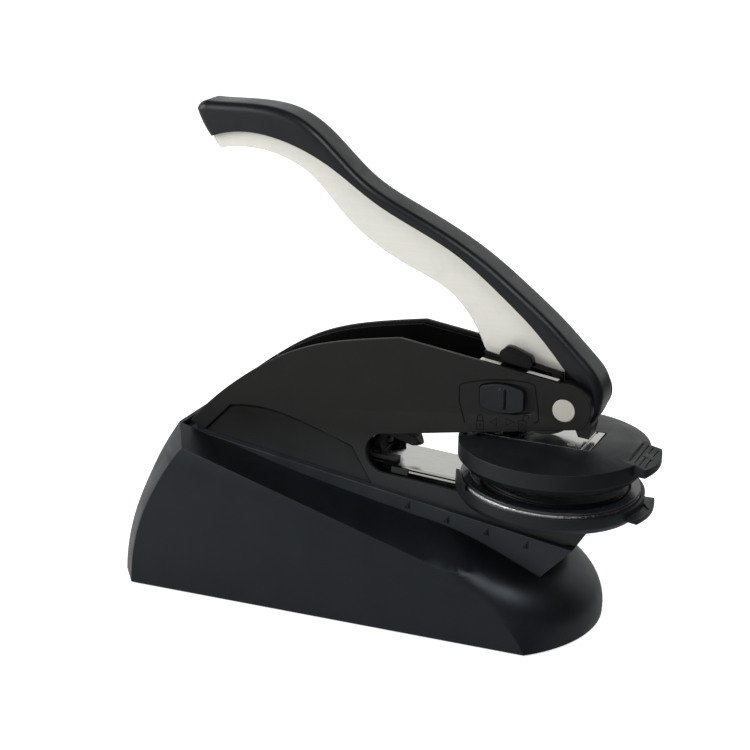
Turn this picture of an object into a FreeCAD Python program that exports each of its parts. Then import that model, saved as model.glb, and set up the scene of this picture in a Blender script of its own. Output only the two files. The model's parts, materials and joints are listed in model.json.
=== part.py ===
import FreeCAD, Part
import math
import os

# Desk seal embosser. Millimetres, +Z up, +X towards the dies, +Y to the left side.
# Origin: middle of the base's underside. Side outlines are (distance from the die axis, height).

# Base
base_half_width = 26.0
base_nose = 14.0            # nose tip ahead of the die axis
base_tail = 121.4           # rear face behind the die axis, at the bottom
corner_length = 6.0         # how far the angled rear corners reach forward
corner_depth = 8.0          # how far they reach across
# rear faces: distance ahead of their foot, height
rear_line = ((0.0, 0.0), (1.2, 8.4), (4.1, 18.8), (9.0, 31.5), (12.2, 38.8), (16.1, 45.9), (25.4, 61.0))
corner_line = ((0.0, 0.0), (0.6, 7.3), (2.2, 15.0), (5.0, 23.0), (9.0, 30.8), (13.0, 37.4), (17.8, 43.6),
               (27.4, 54.0))
side_top_height = 43.6      # side panel's top edge, at side_top_place ahead of the rear face
side_top_place = 24.0
side_slope = 0.2995         # fall of that edge for each millimetre forward
# rise of the dome above the panels' edges, at even steps from behind the base to ahead of it
crown_behind = 10.6
crown_ahead = 22.0
crown_rises = (0.2, 0.2, 0.2, 0.2, 0.3, 0.8, 2.0, 3.5, 5.1, 6.6, 5.9, 3.7, 2.0, 1.0, 0.6)
crown_edge_radius = 14.0
# each level of the nose: height, then the front of the sides behind the tip and the bulge ahead of
# them, both as shares of the half width
nose_levels = ((0.0, 0.465, 0.45), (6.0, 0.608, 0.604), (14.0, 0.904, 0.838), (24.0, 1.292, 1.0))
base_wall = 2.4
base_rim_gap = 0.5          # bottom rim above the table
pad_thickness = 0.9
ballast_thickness = 3.0
ballast_clearance = 0.2
boss_radius = 3.4
base_screw_radius = 1.5
base_screw_head_radius = 2.8
base_screw_reach = 9.0

lower_seat_height = 34.9    # top of the sloping seat, at the die axis

# Cradle rail
rail_half_width = 12.0
rail_wall = 1.95
rail_floor = 2.0
rail_front = 9.7            # front end of the rail's top edge, ahead of the die axis
rail_drop = 9.1             # rail's front top edge below the lower seat
rail_slope = 0.161
rail_tail = 103.2
rail_tail_depth = 4.5
rail_knee_place = (-34.7, -2.0)     # corners of the rail's underside, from its front top edge
rail_toe_place = (-10.7, -11.0)
relief_front = -92.5
relief_side = 1.3
well_wall = 2.2
cradle_screw_places = (-84.0, -42.0)
cradle_screw_radius = 1.5
cradle_screw_head_radius = 2.8
cradle_screw_head = 1.6

# Press body
body_half_width = 10.0
shell_thickness = 1.2
plate_thickness = 1.8
plate_drop = 0.8            # plate edge below the cover's edge, behind the bare stretch
bare_edge_start = -18.0
panel_depth = 0.6
slot_height = 11.5
pivot_ahead = 5.4           # pivot ahead of the die axis
pivot_rise = 28.5           # pivot above the lower seat
pivot_end_radius = 7.2      # body's rounded front end
jaw_drop = 8.9              # front of the upper jaw above its rear
body_screw_places = ((-91.4, -16.4), (-69.4, -7.9), (-44.4, -2.9))     # upper ones, from the pivot
saddle_screw_distances = (-20.0, 1.0)
body_screw_radius = 1.4
body_screw_head_radius = 2.3
body_screw_head = 0.9
spacer_radius = 3.0
fixed_clearance = 0.03
saddle_rear = -44.0
saddle_front = 13.6
saddle_depth = 5.0

# Pivot
pin_radius = 2.5
pin_head_radius = 3.0
pin_running_clearance = 0.05
washer_radius = 4.3
spring_wire = 0.6
spring_turns = 1.75         # whole turns and three quarters, so that the legs stand square
spring_pitch = spring_wire * 1.1
spring_radius = 3.7
spring_gap = 0.05
spring_leg = 3.6
washer_gap = 0.1
washer_thickness = 0.8

# Handle
lever_half_width = 4.2
lever_sheet = 1.2
grip_half_width = 5.6
grip_skin = 1.6             # grip's thickness over the lever's back
grip_edge_radius = 2.3
lever_hub_radius = 6.0
cam_radius = 10.1
cam_throw = 7.6             # cam centre's distance from the pivot
cam_lead = 2.3              # degrees above level, at rest
cam_side_clearance = 0.1
lever_rivet_radius = 1.2
lever_rivet_places = ((-9.9, 5.6), (-11.9, -2.9))     # from the pivot

# Lock
button_length = 12.0
button_height = 7.8
button_proud = 0.8
button_rib = 0.35
button_back = 16.6          # button's middle behind the pivot
button_rise = 1.2
button_play = 0.3
lock_travel = 2.6
recess_depth = 0.8
stem_length = 4.0
stem_height = 3.0
lock_bar_thickness = 1.0
lock_bar_gap = 0.1

# Dies
lower_tilt = 4.2            # degrees, front end down
slide_clearance = 0.15
tray_radius = 25.2          # the dies and their rings take their sizes from it
tray_back = 1.0             # tray's and rings' middle behind the die axis
tray_wall = 1.0
tray_height = 4.5
tray_foot_in = 1.1          # radius lost over the tray's tapered foot
tray_foot_wall = 2.6
tray_taper_height = 1.6
tray_floor = 1.05
tray_step = 3.05
tray_lip = 1.1
tray_lip_reach = 0.74        # where the raised lip ends, as a share of the radius
tray_tab_length = 2.8
tray_tab_half_width = 8.0
tray_tab_base = 1.3
tray_tab_top = 2.5
tray_tab_dent = 0.9         # depth of the tab's three-cornered hollow, at the tray
sheet = 0.6                 # steel strip thickness
sheet_gap = 0.4             # between the two lower strips
lower_strip_half_width = 8.0
strip_neck_half_width = 6.2
strip_tail = 60.0
strip_end_gap = 3.5         # strip's front end behind the tray's inside
strip_shoulder = 46.0
ring_fit = 0.1              # metal ring inside the tray's wall
ring_width = 2.7
metal_ring_height = 1.0
metal_ring_base = 3.9
retainer_inset = 0.3
retainer_height = 0.8
die_ring_gap = 0.7          # die inside its rings
lower_die_top = 6.3
upper_tilt = 1.3
die_gap = 3.7               # between the die faces at rest
upper_radius_out = 0.2      # upper disc's rim outside the tray's
upper_ring_inset = 0.8
upper_ring_base = -0.5      # below the upper die's face
upper_ring_height = 2.4
upper_ring_taper = 1.5
upper_side_height = 4.3
upper_chamfer = 5.0
upper_chamfer_height = 1.4
channel_half_width = 7.4
channel_front = 12.2
upper_strip_half_width = 7.2
upper_strip_front = 11.7
upper_strip_groove = 9.3    # groove across the strip, ahead of the die axis
upper_strip_shoulder = 22.0
upper_strip_bend = 44.8
tab_half_width = 7.8
tab_length = 3.1
tab_thickness = 1.9
tab_rear = (22.0, 6.7)      # rear edge of the tab's flat: ahead of the axis, height
tab_fall = 15.6             # degrees, front end down
tab_groove = 0.35

# Clip hinge
hinge_back = 54.0           # hinge behind the die axis
hinge_rise = 9.5            # hinge above the lower seat's height at the die axis
clip_pin_radius = 1.2
knuckle_radius = 1.95
knuckle_half_width = 4.0
ear_outer = 6.6
guide_half_width = 2.2
clip_rivet_radius = 1.0
clip_block_front = -47.7
clip_flange_front = -42.6
spacer_rear = -43.2
spacer_front = -38.4
lug_thickness = 0.45
lug_drop = 1.3

die_x = (base_tail - base_nose) / 2
base_side_tail = base_tail - corner_length
side_top_start = base_tail - side_top_place
crown_start = -base_tail - crown_behind
crown_step = (base_nose + crown_ahead - crown_start) / (len(crown_rises) - 1)
rail_front_height = lower_seat_height - rail_drop
pivot_height = lower_seat_height + pivot_rise
pivot = (pivot_ahead, pivot_height)
hinge_height = lower_seat_height + hinge_rise
hinge = (-hinge_back, hinge_height)
plate_inner = body_half_width - shell_thickness - plate_thickness
plate_outer = body_half_width - shell_thickness
saddle_half_width = plate_inner
button_x = pivot_ahead - button_back
button_z = pivot_height + button_rise
rail_knee = (rail_front + rail_knee_place[0], rail_front_height + rail_knee_place[1])
rail_toe = (rail_front + rail_toe_place[0], rail_front_height + rail_toe_place[1])
tray_foot_radius = tray_radius - tray_foot_in
cavity_radius = tray_radius - tray_foot_in - tray_foot_wall
strip_nose = cavity_radius - strip_end_gap
metal_ring_radius = tray_radius - tray_wall - ring_fit
retainer_radius = metal_ring_radius - retainer_inset
ring_bore = metal_ring_radius - ring_width
upper_radius = tray_radius + upper_radius_out
die_radius = ring_bore - tray_back - die_ring_gap
upper_ring_radius = upper_radius - upper_ring_inset
upper_face_height = lower_seat_height + slide_clearance + lower_die_top + die_gap
upper_top = upper_ring_base + upper_ring_height + upper_side_height + upper_chamfer_height
ballast_top = pad_thickness + ballast_thickness


def side_point(point, y=0.0):
    return FreeCAD.Vector(die_x + point[0], y, point[1])


def side_face(start, *steps, origin=(0.0, 0.0)):
    """Closed face in the side view: a step is one point (line), two (arc) or more (curve)."""
    edges = []
    shift = FreeCAD.Vector(origin[0], 0, origin[1])
    begin = side_point(start) + shift
    here = begin
    for step in steps:
        if isinstance(step, tuple):
            step = [step]
        points = [side_point(point) + shift for point in step]
        if len(points) == 1:
            edge = Part.makeLine(here, points[0])
        elif len(points) == 2:
            edge = Part.Arc(here, points[0], points[1]).toShape()
        else:
            curve = Part.BSplineCurve()
            curve.interpolate([here] + points)
            edge = curve.toShape()
        edges.append(edge)
        here = points[-1]
    if here.distanceToPoint(begin) > 1e-6:
        edges.append(Part.makeLine(here, begin))
    return Part.Face(Part.Wire(edges))


def across(face, y_from, y_to):
    """Solid from a side-view face, between two distances across."""
    solid = face.extrude(FreeCAD.Vector(0, y_to - y_from, 0))
    solid.translate(FreeCAD.Vector(0, y_from, 0))
    return solid


def cross_rod(place, radius, y_from, y_to):
    start = side_point(place, y_from)
    return Part.makeCylinder(radius, y_to - y_from, start, FreeCAD.Vector(0, 1, 0))


def disc(radius, low, high, x=0.0, y=0.0):
    return Part.makeCylinder(radius, high - low, FreeCAD.Vector(x, y, low))


def block(x_from, x_to, y_from, y_to, z_from, z_to):
    corner = FreeCAD.Vector(x_from, y_from, z_from)
    return Part.makeBox(x_to - x_from, y_to - y_from, z_to - z_from, corner)


def cut_all(shape, tools):
    for tool in tools:
        shape = shape.cut(tool)
    return shape


def join(shapes):
    result = shapes[0]
    for shape in shapes[1:]:
        result = result.fuse(shape)
    return result.removeSplitter()


def seat(shape, tilt, height):
    """Moves a shape from a die's own frame, die axis at the origin, to its place."""
    shape = shape.copy()
    shape.rotate(FreeCAD.Vector(), FreeCAD.Vector(0, 1, 0), tilt)
    shape.translate(FreeCAD.Vector(die_x, 0, height))
    return shape


def seat_lower(shape):
    return seat(shape, lower_tilt, lower_seat_height + slide_clearance)


def seat_upper(shape):
    return seat(shape, upper_tilt, upper_face_height)


def bar(start, end, thickness, half_width):
    """Flat bar between two side-view points."""
    run = math.hypot(end[0] - start[0], end[1] - start[1])
    angle = math.degrees(math.atan2(end[1] - start[1], end[0] - start[0]))
    shape = block(0, run, -half_width, half_width, -thickness / 2, thickness / 2)
    shape.rotate(FreeCAD.Vector(), FreeCAD.Vector(0, 1, 0), -angle)
    shape.translate(side_point(start))
    return shape


def save(name, shape):
    shape.exportStep("parts/" + name + ".step")
    print(name, len(shape.Solids), round(shape.Volume, 1), shape.isValid())


# ---- base ----

def plan_wire(level, inset):
    """Outline of the base seen from above, at one of the nose levels."""
    height, setback, bulge = level
    half = base_half_width - inset
    rear = die_x - base_tail - 5.0
    side = die_x + base_nose - setback * base_half_width - inset
    right_rear = FreeCAD.Vector(rear, -half, height)
    right_front = FreeCAD.Vector(side, -half, height)
    left_front = FreeCAD.Vector(side, half, height)
    left_rear = FreeCAD.Vector(rear, half, height)
    nose_tip = FreeCAD.Vector(side + bulge * base_half_width, 0, height)
    edges = [Part.makeLine(right_rear, right_front)]
    edges.append(Part.Arc(right_front, nose_tip, left_front).toShape())
    edges.append(Part.makeLine(left_front, left_rear))
    edges.append(Part.makeLine(left_rear, right_rear))
    return Part.Wire(edges)


def rear_profile(line, foot, inset):
    """Side-view region ahead of a rear curve."""
    points = [(foot + x + inset, z) for x, z in line]
    front = base_nose * 4
    return side_face(points[0], points[1:], (front, points[-1][1]), (front, 0.0))


def crown_solid(inset):
    """Everything under the domed top."""
    rows = []
    for place, rise in enumerate(crown_rises):
        distance = crown_start + place * crown_step
        height = side_top_height - side_slope * (distance + side_top_start) - inset
        row = []
        for share in (-1.25, -1.0, -0.5, 0.0, 0.5, 1.0, 1.25):
            y = share * base_half_width
            row.append(FreeCAD.Vector(die_x + distance, y, height + rise * (1 - share ** 2)))
        rows.append(row)
    surface = Part.BSplineSurface()
    surface.interpolate(rows)
    return surface.toShape().extrude(FreeCAD.Vector(0, 0, -base_tail))


def base_form(inset):
    """Outer form of the base, or the same form drawn in by a wall."""
    wires = [plan_wire(level, inset) for level in nose_levels]
    nose = Part.makeLoft(wires, True, False)
    upper = Part.Face(wires[-1]).extrude(FreeCAD.Vector(0, 0, base_side_tail))
    rear = across(rear_profile(rear_line, -base_tail, inset), -base_tail, base_tail)
    form = nose.fuse(upper).common(crown_solid(inset)).common(rear)
    for side in (-1, 1):
        face = rear_profile(corner_line, -base_side_tail, inset)
        face.translate(FreeCAD.Vector(corner_length, side * (base_half_width + corner_depth), 0))
        run = FreeCAD.Vector(-corner_length, -side * corner_depth, 0)
        form = form.common(face.extrude(run * 8))
    return form.Solids[0]


def crown_edges(form):
    """Edges between the domed top and the nose."""
    found = []
    for edge in form.Edges:
        box = edge.BoundBox
        ahead = box.XMax > die_x + base_nose - nose_levels[-1][1] * base_half_width
        if ahead and box.YLength > base_half_width and box.ZMin > nose_levels[1][0]:
            found.append(edge)
    return found


def rail_outline(drop):
    """Rail's side outline, or the same lowered by a floor."""
    tail_top = (-rail_tail, rail_height(-rail_tail))
    tail_foot = (-rail_tail, tail_top[1] - rail_tail_depth - drop)
    knee = (rail_knee[0], rail_knee[1] - drop)
    toe = (rail_toe[0] + drop, rail_toe[1] - drop)
    return tail_top, tail_foot, knee, toe, (rail_front + drop, rail_front_height)


def rail_height(distance):
    return rail_front_height + rail_slope * (rail_front - distance)


def rail_frame(distance):
    """Point on the rail's underside and the direction square to it."""
    tail = (-rail_tail, rail_height(-rail_tail) - rail_tail_depth)
    share = (distance - tail[0]) / (rail_knee[0] - tail[0])
    height = tail[1] + share * (rail_knee[1] - tail[1])
    run = math.hypot(rail_knee[0] - tail[0], rail_knee[1] - tail[1])
    up = FreeCAD.Vector((tail[1] - rail_knee[1]) / run, 0, (rail_knee[0] - tail[0]) / run)
    return side_point((distance, height)), up


def rail_pocket():
    points = rail_outline(0.0)
    lifted = [points[0]] + list(points[1:]) + [(rail_front + 10, rail_front_height + 10)]
    face = side_face(*lifted, (-rail_tail, lifted[0][1] + 10))
    half = rail_half_width + fixed_clearance
    return across(face, -half, half)


def rail_relief():
    """Shallow step that keeps the rail's rear end in view."""
    points = [(x, rail_height(x) - 0.2) for x in (-rail_tail - 1.0, relief_front)]
    face = side_face(points[0], points[1], (relief_front, 60.0), (points[0][0], 60.0))
    half = rail_half_width + relief_side
    return across(face, -half, half)


def cradle_screw_parts(radius, head_radius):
    """Shanks and heads of the screws that hold the rail down."""
    shapes = []
    for distance in cradle_screw_places:
        foot, up = rail_frame(distance)
        start = foot - up * (well_wall + cradle_screw_head)
        length = cradle_screw_head + well_wall + rail_floor - 0.3
        head = Part.makeCylinder(head_radius, cradle_screw_head, start, up)
        shank = Part.makeCylinder(radius, length, start, up)
        shapes.append(head.fuse(shank))
    return shapes


def cradle_driver_bores():
    """Room below the wells for the screws' heads and the driver."""
    bores = []
    for distance in cradle_screw_places:
        foot, up = rail_frame(distance)
        start = foot - up * (well_wall + 3 * cradle_screw_head)
        radius = cradle_screw_head_radius + ballast_clearance
        bores.append(Part.makeCylinder(radius, 3 * cradle_screw_head, start, up))
    return bores


def base_screw_spots():
    rear = die_x - base_side_tail + base_screw_reach
    front = die_x - 9.0
    rear_side = base_half_width - base_screw_reach
    front_side = base_half_width - base_screw_reach
    return [(x, s * y) for x, y in ((rear, rear_side), (front, front_side)) for s in (-1, 1)]


def desk_base():
    outer = base_form(0.0)
    outer = outer.makeFillet(crown_edge_radius, crown_edges(outer))
    hollow = base_form(base_wall)
    wide = rail_half_width + well_wall
    well = across(side_face(*rail_outline(well_wall), (-rail_tail, 90.0)), -wide, wide)
    hollow = hollow.cut(well)
    tall = block(-2 * base_tail, 2 * base_tail, -base_tail, base_tail, ballast_top, base_tail)
    for x, y in base_screw_spots():
        post = disc(boss_radius, ballast_top, base_tail, x, y)
        hollow = hollow.cut(post)
    low = block(-2 * base_tail, 2 * base_tail, -base_tail, base_tail, -base_tail, base_rim_gap)
    shell = cut_all(outer, [hollow, low, rail_pocket(), rail_relief()])
    for x, y in base_screw_spots():
        shell = shell.cut(disc(base_screw_radius, 0, ballast_top + 6.0, x, y))
    screws = cradle_screw_parts(cradle_screw_radius, cradle_screw_radius)
    return cut_all(shell, screws + cradle_driver_bores()).removeSplitter()


def base_sheet(low, high):
    """Flat sheet that fills the base's underside inside its wall."""
    form = base_form(base_wall + ballast_clearance)
    slab = block(-2 * base_tail, 2 * base_tail, -base_tail, base_tail, low, high)
    return form.common(slab)


def ballast_plate():
    plate = base_sheet(pad_thickness, ballast_top)
    tools = []
    for x, y in base_screw_spots():
        tools.append(disc(base_screw_radius, 0, ballast_top, x, y))
        tools.append(disc(base_screw_head_radius, 0, pad_thickness + 1.4, x, y))
    return cut_all(plate, tools)


def base_screws():
    solids = []
    for x, y in base_screw_spots():
        head = disc(base_screw_head_radius, pad_thickness, pad_thickness + 1.4, x, y)
        solids.append(head.fuse(disc(base_screw_radius, pad_thickness, ballast_top + 5.5, x, y)))
    return Part.makeCompound(solids)


# ---- cradle rail ----

def rail_inside_line():
    """Floor and front wall of the rail's channel, from the tail to the front."""
    tail, foot, knee, toe, front = rail_outline(0.0)
    slip = rail_wall * 0.75
    return ((-rail_tail + 1.6, foot[1] + rail_floor), (knee[0], knee[1] + rail_floor),
            (toe[0] + slip, toe[1] + rail_floor), (front[0] - 2.0, front[1] + 0.3))


def cradle_rail():
    rail = across(side_face(*rail_outline(0.0)), -rail_half_width, rail_half_width)
    line = rail_inside_line()
    above = rail_height(-rail_tail) + 10
    half = body_half_width + fixed_clearance
    face = side_face(*line, (line[-1][0], above), (line[0][0], above))
    rail = rail.cut(across(face, -half, half))
    return cut_all(rail, cradle_screw_parts(cradle_screw_radius, cradle_screw_radius))


def cradle_screws():
    return Part.makeCompound(cradle_screw_parts(cradle_screw_radius, cradle_screw_head_radius))


# ---- press body ----

def seat_line(distance):
    """Height of the sloping seat that the lower die slides on."""
    return lower_seat_height - math.tan(math.radians(lower_tilt)) * distance


def from_pivot(*points):
    """Side-view points given from the pivot."""
    return [(pivot[0] + x, pivot[1] + z) for x, z in points]


def body_screw_spots():
    """Upper screws, then those that pass through the saddle, midway between rail and seat."""
    spots = from_pivot(*body_screw_places)
    for x in saddle_screw_distances:
        spots.append((x, (rail_height(x) + seat_line(x)) / 2))
    return spots


def wall_face():
    """Side outline of the press body's walls."""
    floor = rail_inside_line()
    jaw_front, jaw_rear, heel, rear_foot = from_pivot((5.0, -4.6), (-49.6, -4.6 - jaw_drop),
                                                      (-108.8, -17.8), (-107.1, -18.8))
    slot_foot = (jaw_rear[0] - 0.2, jaw_rear[1] - slot_height)
    slot_back = (jaw_rear[0] - slot_height / 2, jaw_rear[1] - slot_height / 2)
    top = from_pivot((-99.2, -8.2), (-87.3, 0.7), (-76.9, 6.5), (-58.0, 11.9), (-45.4, 14.0))
    nose_top = (pivot[0] - 1.1, pivot[1] + pivot_end_radius)
    nose_tip = (pivot[0] + pivot_end_radius, pivot[1] + 0.3)
    step = (floor[3][0] - 0.1, rail_height(floor[3][0]) + 0.3)
    seat_front = (14.6, seat_line(14.6))
    seat_rear = (-26.0, seat_line(-26.0))
    return side_face(heel, top, nose_top, [nose_tip, jaw_front], jaw_rear,
                     [slot_back, slot_foot], seat_rear, seat_front, (rail_front + 0.2, step[1]),
                     step, (floor[2][0] - 0.1, floor[2][1] + 0.05), (floor[1][0], floor[1][1] + 0.05),
                     (floor[0][0] + 0.1, floor[0][1] + 0.05), (floor[0][0] + 0.1, rear_foot[1]))


def recess_centre():
    return button_x + lock_travel / 2


def rounded_slot(half_length, half_height, centre_x, y_from, y_to, radius):
    x = die_x + centre_x
    shape = block(x - half_length, x + half_length, y_from, y_to,
                  button_z - half_height, button_z + half_height)
    edges = [edge for edge in shape.Edges if edge.BoundBox.YLength > 0.01]
    return shape.makeFillet(radius, edges)


def barrel(half_length, half_height, centre_x, y_from, y_to):
    """Long outline with bowed top and bottom edges and rounded corners."""
    left, right = centre_x - half_length, centre_x + half_length
    low, high = button_z - half_height * 0.67, button_z + half_height * 0.67
    bottom = [(centre_x, button_z - half_height), (right, low)]
    face = side_face((left, low), bottom, (right, high), [(centre_x, button_z + half_height), (left, high)])
    shape = across(face, y_from, y_to)
    edges = [edge for edge in shape.Edges if edge.BoundBox.XLength < 0.01 and edge.BoundBox.ZLength < 0.01]
    return shape.makeFillet(1.3, edges)


def stem_slot(y_from, y_to):
    half = (stem_length + lock_travel) / 2 + button_play
    return rounded_slot(half, stem_height / 2 + button_play, recess_centre(), y_from, y_to, 0.8)


def body_shell(side):
    """Moulded cover on one side: -1 right, +1 left."""
    near = min(side * plate_outer, side * body_half_width)
    shell = across(wall_face(), near, near + shell_thickness)
    panel = side_face((-104.5, -19.9), (-96.2, -11.6), [(-85.4, -11.0), (-74.5, -13.3), (-59.4, -18.3)],
                      (-53.2, -29.0), (-65.4, -33.4), origin=pivot)
    face_low = side * body_half_width if side < 0 else body_half_width - panel_depth
    shell = shell.cut(across(panel, face_low, face_low + panel_depth))
    shell = shell.cut(cross_rod(pivot, pin_head_radius + fixed_clearance, -40, 40))
    if side < 0:
        half = button_length / 2 + lock_travel / 2 + button_play
        high = button_height / 2 + button_play
        outside = -body_half_width
        shell = shell.cut(barrel(half, high, recess_centre(), outside, outside + recess_depth))
        shell = shell.cut(stem_slot(-body_half_width, -plate_outer))
        return shell
    for place in body_screw_spots():
        shell = shell.cut(cross_rod(place, body_screw_radius + fixed_clearance, 0, 40))
    return shell


def frame_plate(side):
    """Steel plate behind one cover; its edge shows only near the pivot."""
    near = min(side * plate_inner, side * plate_outer)
    plate = across(wall_face(), near, near + plate_thickness)
    lowered = plate.copy()
    lowered.translate(FreeCAD.Vector(0, 0, -plate_drop))
    bare = block(die_x + bare_edge_start, die_x + 40, -40, 40, 0, 140)
    under = block(die_x - base_tail, die_x + bare_edge_start, -40, 40, 0, 62.0)
    plate = join([plate.common(lowered), plate.common(bare), plate.common(under)])
    plate = plate.cut(cross_rod(pivot, pin_radius + fixed_clearance, -40, 40))
    for place in body_screw_spots():
        plate = plate.cut(cross_rod(place, body_screw_radius + fixed_clearance, -40, 40))
    if side < 0:
        plate = plate.cut(stem_slot(-plate_outer, -plate_inner))
    return plate


def frame_spacers():
    solids = []
    for place in body_screw_spots()[:3]:
        tube = cross_rod(place, spacer_radius, -plate_inner, plate_inner)
        solids.append(tube.cut(cross_rod(place, body_screw_radius + fixed_clearance, -40, 40)))
    return Part.makeCompound(solids)


def jaw_saddle():
    front = (saddle_front, seat_line(saddle_front))
    rear = (saddle_rear, seat_line(saddle_rear))
    lower_front = (saddle_front - 2.2, rail_height(saddle_front) + 3.4)
    face = side_face(rear, front, lower_front, (lower_front[0] - 3.0, lower_front[1] - 1.0),
                     (saddle_rear, rear[1] - saddle_depth))
    saddle = across(face, -saddle_half_width, saddle_half_width)
    for place in body_screw_spots()[3:]:
        saddle = saddle.cut(cross_rod(place, body_screw_radius + fixed_clearance, -40, 40))
    return saddle


def body_screws():
    solids = []
    for place in body_screw_spots():
        shank = cross_rod(place, body_screw_radius, -plate_outer, body_half_width)
        head = cross_rod(place, body_screw_head_radius, body_half_width, body_half_width + body_screw_head)
        solids.append(shank.fuse(head))
    return Part.makeCompound(solids)


# ---- pivot ----

def pivot_pin():
    shank = cross_rod(pivot, pin_radius, -body_half_width, body_half_width)
    right = cross_rod(pivot, pin_head_radius, -body_half_width, -plate_outer)
    left = cross_rod(pivot, pin_head_radius, plate_outer, body_half_width)
    return join([shank, right, left])


def lever_bore(y_from=-40.0, y_to=40.0):
    return cross_rod(pivot, pin_radius + pin_running_clearance, y_from, y_to)


def pivot_washers():
    inner = lever_half_width + washer_gap
    right = cross_rod(pivot, washer_radius, -plate_inner, -inner)
    left = cross_rod(pivot, washer_radius, inner, inner + washer_thickness)
    bore = cross_rod(pivot, pin_radius + fixed_clearance, -40, 40)
    return Part.makeCompound([right.cut(bore), left.cut(bore)])


def return_spring():
    """Torsion spring round the pin: one wire, with a straight leg at each end."""
    start_y = lever_half_width + washer_gap + washer_thickness + spring_gap + spring_wire / 2
    step = math.radians(22.5)
    leg_steps = round(spring_leg / (spring_radius * step))
    coil_steps = round(2 * math.pi * spring_turns / step)
    points = []
    for place in range(-leg_steps, coil_steps + leg_steps + 1):
        turned = min(max(place, 0), coil_steps)
        angle = turned * step
        up = max(-place, 0) * spring_radius * step
        ahead = max(place - coil_steps, 0) * spring_radius * step
        across_by = spring_pitch * angle / (2 * math.pi)
        spot = (pivot[0] + spring_radius * math.cos(angle) + ahead,
                pivot[1] - spring_radius * math.sin(angle) + up)
        points.append(side_point(spot, start_y + across_by))
    curve = Part.BSplineCurve()
    curve.interpolate(points)
    profile = Part.Wire(Part.makeCircle(spring_wire / 2, points[0], FreeCAD.Vector(0, 0, 1)))
    sweep = Part.BRepOffsetAPI.MakePipeShell(Part.Wire(curve.toShape()))
    sweep.setBiNormalMode(FreeCAD.Vector(0, 1, 0))
    sweep.add(profile)
    sweep.build()
    sweep.makeSolid()
    return sweep.shape()


# ---- handle ----

crown_line = [(-103.1, 71.8), (-91.1, 71.9), (-79.0, 70.1), (-71.5, 65.8), (-64.0, 59.0), (-57.0, 53.1),
              (-47.0, 47.7), (-36.0, 42.4), (-22.7, 34.4), (-13.9, 27.7), (-4.6, 20.0), (3.2, 12.4),
              (7.5, 7.2)]


def lever_face():
    slip_x = grip_skin * 0.53
    slip_z = grip_skin * 0.85
    back = [(x - slip_x, z - slip_z) for x, z in crown_line]
    belly = [(-87.4, 59.8), (-73.4, 54.3), (-64.3, 45.0), (-45.5, 32.3), (-33.5, 26.4),
             (-26.7, 18.6), (-23.8, 12.7)]
    reach = lever_hub_radius
    hub_low = (-0.5, -reach)
    hub_front = (reach, 0.0)
    return side_face((-100.2, 59.3), belly, (-14.4, 0.0), hub_low,
                     [(reach * 0.72, -reach * 0.7), hub_front],
                     back[-1], back[-2::-1], (-101.9, 61.7), origin=pivot)


def lever_channel():
    lever = across(lever_face(), -lever_half_width, lever_half_width)
    inner_face = lever_face()
    inner_face.translate(FreeCAD.Vector(-lever_sheet * 0.56, 0, -lever_sheet * 0.85))
    inside = lever_half_width - lever_sheet
    lever = lever.cut(across(inner_face, -inside, inside))
    hub_x = die_x + pivot[0]
    lower = block(hub_x - 25.4, hub_x - 2.4, -inside, inside, pivot[1] - 13.4, pivot[1] + 20.6)
    lever = lever.cut(lower)
    lever = lever.cut(lever_bore())
    for place in from_pivot(*lever_rivet_places):
        lever = lever.cut(cross_rod(place, lever_rivet_radius + fixed_clearance, -40, 40))
    return lever


def grip_face():
    under = [(-93.5, 64.4), (-80.0, 62.6), (-66.2, 56.3), (-55.0, 48.8), (-32.6, 37.4),
             (-17.0, 25.5), (-10.0, 19.2), (-5.6, 14.4), (-1.6, 9.6)]
    nose = [(7.2, -2.6), (8.2, 0.4), (8.5, 3.6)]
    foot = (-102.9, 62.2)
    return side_face(foot, under, (4.0, 5.2), (6.8, 0.0), (5.5, -5.2), nose + crown_line[::-1],
                     [(-105.9, 71.1), (-106.9, 69.6)], [(-105.4, 66.0), foot], origin=pivot)


def handle_grip():
    grip = across(grip_face(), -grip_half_width, grip_half_width)
    top = grip.BoundBox.ZMax - 1.0
    rear = grip.BoundBox.XMin + 1.0
    outer = []
    for edge in grip.Edges:
        box = edge.BoundBox
        if box.YLength < 0.01 and (box.ZMax > top or box.XMin < rear):
            outer.append(edge)
    grip = grip.makeFillet(grip_edge_radius, outer)
    return grip.cut(across(lever_face(), -lever_half_width, lever_half_width))


def cam_centre():
    angle = math.radians(180.0 - cam_lead)
    return (pivot[0] + cam_throw * math.cos(angle), pivot[1] + cam_throw * math.sin(angle))


def cam_block():
    half = lever_half_width - lever_sheet - cam_side_clearance
    lobe = cross_rod(cam_centre(), cam_radius, -half, half)
    hub = cross_rod(pivot, lever_hub_radius - 0.6, -half, half)
    toe = side_face((2.0, -9.3), (4.9, -9.6), (5.7, -6.0), (3.6, -1.4), (-1.4, -1.4), origin=pivot)
    foot = across(toe, -half, half)
    cam = join([lobe, hub, foot]).cut(lever_bore())
    for place in from_pivot(*lever_rivet_places):
        cam = cam.cut(cross_rod(place, lever_rivet_radius + fixed_clearance, -40, 40))
    return cam


def lever_rivets():
    solids = [cross_rod(place, lever_rivet_radius, -lever_half_width, lever_half_width)
              for place in from_pivot(*lever_rivet_places)]
    return Part.makeCompound(solids)


# ---- lock ----

def lock_button():
    back = -body_half_width + recess_depth - 0.1
    front = -body_half_width - button_proud
    plate = barrel(button_length / 2, button_height / 2, button_x, front, back)
    rib = rounded_slot(0.8, button_height / 2 - 1.2, button_x, front - button_rib, front, 0.5)
    inner = -plate_inner + lock_bar_gap
    stem = rounded_slot(stem_length / 2, stem_height / 2, button_x, back, inner, 0.5)
    return join([plate, rib, stem])


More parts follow.
